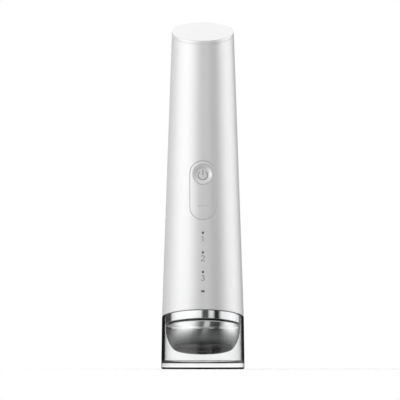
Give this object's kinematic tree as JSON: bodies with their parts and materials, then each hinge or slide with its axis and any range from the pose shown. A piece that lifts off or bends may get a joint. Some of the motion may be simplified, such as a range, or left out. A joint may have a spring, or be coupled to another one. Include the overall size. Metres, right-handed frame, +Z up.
{
  "type": "facial skin care wand",
  "caption": "Tapered white hand-held skin care wand with a domed metal head, oval front keys and a clear slip-on cap it stands on.",
  "frame": {"origin": "middle of the clear cap's flat base, on the surface the wand stands on", "axes": "+Z up the barrel; -Y is the side with the keys and indicators; +X is to the right seen from the keys"},
  "size_m": [0.044, 0.044, 0.1836],
  "materials": {
    "white_shell": "satin gloss moulded plastic",
    "white_key": "satin gloss moulded plastic",
    "white_silicone": "soft matt silicone",
    "chrome_trim": "bright plated ring",
    "chrome_head": "polished metal cup",
    "clear_plastic": "clear moulded plastic",
    "black_rubber": "matt seal rubber",
    "grey_plastic": "matt moulded plastic",
    "ivory_plastic": "matt moulded plastic",
    "steel": "plain bright steel",
    "brass": "plain brass",
    "board_green": "green circuit board",
    "chip_black": "black moulded package",
    "ferrite": "pressed ferrite",
    "led_resin": "cast resin",
    "lens_smoke": "smoked light pipe",
    "piezo_ceramic": "fired ceramic",
    "cell_sleeve": "shrink sleeve over a round cell",
    "foam": "closed-cell foam",
    "lead_red": "insulated wire",
    "lead_black": "insulated wire",
    "lead_white": "insulated wire"
  },
  "bodies": {
    "barrel": {"barrel_shell": "white_shell", "top_cover": "white_shell", "top_seal": "black_rubber", "trim_ring": "chrome_trim", "head_shell": "chrome_head", "head_gasket": "black_rubber", "head_screw_1": "steel", "head_screw_2": "steel", "head_screw_3": "steel", "head_carrier": "grey_plastic", "piezo_disc": "piezo_ceramic", "contact_spring": "brass", "key_hinge_pin": "steel", "main_board": "board_green", "power_switch_body": "chip_black", "mode_switch_body": "chip_black", "control_chip": "chip_black", "boost_inductor": "ferrite", "capacitor": "steel", "level_led_1": "led_resin", "level_led_2": "led_resin", "level_led_3": "led_resin", "charge_led": "led_resin", "level_lens_1": "lens_smoke", "level_lens_2": "lens_smoke", "level_lens_3": "lens_smoke", "charge_lens": "lens_smoke", "chassis": "grey_plastic", "chassis_screw_1": "steel", "chassis_screw_2": "steel", "battery_cell": "cell_sleeve", "battery_foam": "foam", "battery_lead_red": "lead_red", "battery_lead_black": "lead_black", "motor_can": "steel", "motor_sleeve": "black_rubber", "motor_end_cap": "ivory_plastic", "motor_lead_red": "lead_red", "motor_lead_black": "lead_black", "head_lead_1": "lead_white", "head_lead_2": "lead_white", "charge_board": "board_green", "usb_socket": "steel"},
    "cap": {"clear_cap": "clear_plastic"},
    "power_button": {"power_button": "white_key"},
    "power_plunger": {"power_switch_plunger": "grey_plastic"},
    "mode_key": {"mode_key": "white_key"},
    "mode_plunger": {"mode_switch_plunger": "grey_plastic"},
    "rotor": {"motor_shaft": "steel", "eccentric_weight": "brass"},
    "port_cover": {"port_cover": "white_silicone"}
  },
  "joints": [
    {"name": "cap_pull", "type": "slide", "parent": "cap", "child": "barrel", "axis": [0, 0, 1], "range_m": [0, 0.045]},
    {"name": "power_press", "type": "slide", "parent": "barrel", "child": "power_button", "axis": [0, 1, 0], "range_m": [0, 0.0004], "stiffness_N_per_m": 800, "springref_m": -0.001},
    {"name": "power_plunger_press", "type": "slide", "parent": "barrel", "child": "power_plunger", "axis": [0, 1, 0], "range_m": [0, 0.0004]},
    {"name": "mode_key_tilt", "type": "hinge", "parent": "barrel", "child": "mode_key", "pos_m": [0, -0.01508, 0.1106], "axis": [1, 0, 0], "range_deg": [0, 0.93], "stiffness_Nm_per_rad": 0.48, "springref_deg": -2.29},
    {"name": "mode_plunger_press", "type": "slide", "parent": "barrel", "child": "mode_plunger", "axis": [0, 1, 0], "range_m": [0, 0.0004]},
    {"name": "motor_spin", "type": "hinge", "parent": "barrel", "child": "rotor", "pos_m": [0, 0, 0.05], "axis": [0, 0, 1], "continuous": true},
    {"name": "port_cover_open", "type": "hinge", "parent": "barrel", "child": "port_cover", "pos_m": [0.0068, 0.0163, 0.14], "axis": [0, 0, -1], "range_deg": [0, 105]}
  ],
  "couplings": [
    {"joint": "power_plunger_press", "follows": "power_press", "ratio": 1},
    {"joint": "mode_plunger_press", "follows": "mode_key_tilt", "m_per_rad": 0.0246}
  ]
}
